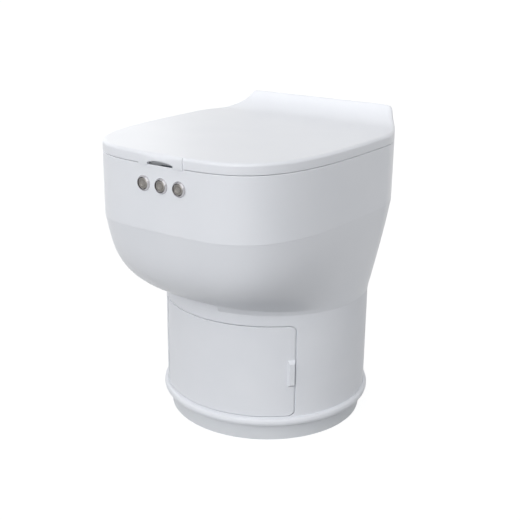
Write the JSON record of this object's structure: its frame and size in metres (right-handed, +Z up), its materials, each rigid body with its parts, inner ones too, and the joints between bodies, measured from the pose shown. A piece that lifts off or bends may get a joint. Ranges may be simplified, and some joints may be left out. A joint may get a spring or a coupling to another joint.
{
  "type": "waterless toilet",
  "caption": "Electric waterless toilet: D-shaped housing with hinged lid and seat over a film-lined bowl, on a round pedestal with a curved bin door.",
  "frame": {"origin": "on the floor, on the pedestal's vertical axis", "axes": "+Z up; the buttons and the door face -Y; +X is to the right of someone who faces the front"},
  "size_m": [0.37, 0.444, 0.499],
  "materials": {
    "white_plastic": "satin",
    "grey_plastic": "matte",
    "dark_plastic": "matte",
    "pale_blue_plastic": "satin",
    "ivory_plastic": "satin",
    "liner_film": "translucent film",
    "steel": "brushed",
    "button_steel": "polished",
    "aluminium": "satin",
    "brass": "machined",
    "board": "lacquered",
    "red_rubber": "matte",
    "grey_rubber": "matte"
  },
  "bodies": {
    "housing": {"plinth": "grey_plastic", "base_ring": "white_plastic", "pedestal_shell": "white_plastic", "bin_floor": "grey_plastic", "waste_bin": "dark_plastic", "door_hinge_lugs": "grey_plastic", "door_pins": "steel", "magnet_catch": "dark_plastic", "collar": "white_plastic", "lower_shell": "white_plastic", "upper_shell": "white_plastic", "deck": "white_plastic", "deck_screws": "steel", "bowl": "white_plastic", "cartridge_case": "pale_blue_plastic", "film_pack": "liner_film", "liner_film": "liner_film", "seal_frame": "steel", "frame_screws": "steel", "fixed_jaw": "aluminium", "heater_bar": "brass", "guide_rods": "steel", "roller_bushes": "brass", "feed_motor": "dark_plastic", "jaw_actuator": "dark_plastic", "control_box": "dark_plastic", "control_board": "board", "power_inlet": "dark_plastic", "button_bezels": "button_steel", "button_nuts": "steel", "button_switches": "dark_plastic", "hinge_bracket": "white_plastic", "hinge_screws": "steel", "hinge_pin": "steel"},
    "seat": {"seat": "white_plastic", "seat_bumpers": "grey_rubber"},
    "lid": {"lid": "white_plastic", "lid_bumpers": "grey_rubber"},
    "door": {"door": "white_plastic", "door_pull": "white_plastic", "strike_plate": "steel"},
    "button_left": {"button_cap_left": "button_steel"},
    "button_middle": {"button_cap_middle": "button_steel"},
    "button_right": {"button_cap_right": "button_steel"},
    "jaw": {"moving_jaw": "aluminium", "jaw_pad": "red_rubber", "jaw_bushes": "brass", "push_rod": "steel"},
    "roller_front": {"front_shaft": "steel", "front_roller": "red_rubber", "front_gear": "ivory_plastic"},
    "roller_rear": {"rear_shaft": "steel", "rear_roller": "red_rubber", "rear_gear": "ivory_plastic"}
  },
  "joints": [
    {"name": "seat_hinge", "type": "hinge", "parent": "housing", "child": "seat", "pos_m": [0, 0.164, 0.458], "axis": [-1, 0, 0], "range_deg": [0, 90]},
    {"name": "lid_hinge", "type": "hinge", "parent": "seat", "child": "lid", "pos_m": [0, 0.164, 0.458], "axis": [-1, 0, 0], "range_deg": [0, 95]},
    {"name": "door_hinge", "type": "hinge", "parent": "housing", "child": "door", "pos_m": [-0.106, -0.12514, 0.12], "axis": [0, 0, -1], "range_deg": [0, 100]},
    {"name": "button_left_press", "type": "slide", "parent": "housing", "child": "button_left", "axis": [0, 1, 0], "range_m": [0, 0.0015], "stiffness_N_per_m": 400},
    {"name": "button_middle_press", "type": "slide", "parent": "housing", "child": "button_middle", "axis": [0, 1, 0], "range_m": [0, 0.0015], "stiffness_N_per_m": 400},
    {"name": "button_right_press", "type": "slide", "parent": "housing", "child": "button_right", "axis": [0, 1, 0], "range_m": [0, 0.0015], "stiffness_N_per_m": 400},
    {"name": "jaw_slide", "type": "slide", "parent": "housing", "child": "jaw", "axis": [0, -1, 0], "range_m": [0, 0.037]},
    {"name": "roller_front_spin", "type": "hinge", "parent": "housing", "child": "roller_front", "pos_m": [0, -0.045, 0.222], "axis": [1, 0, 0], "continuous": true},
    {"name": "roller_rear_spin", "type": "hinge", "parent": "housing", "child": "roller_rear", "pos_m": [0, -0.015, 0.222], "axis": [1, 0, 0], "continuous": true}
  ],
  "couplings": [
    {"joint": "roller_rear_spin", "follows": "roller_front_spin", "ratio": -1}
  ]
}
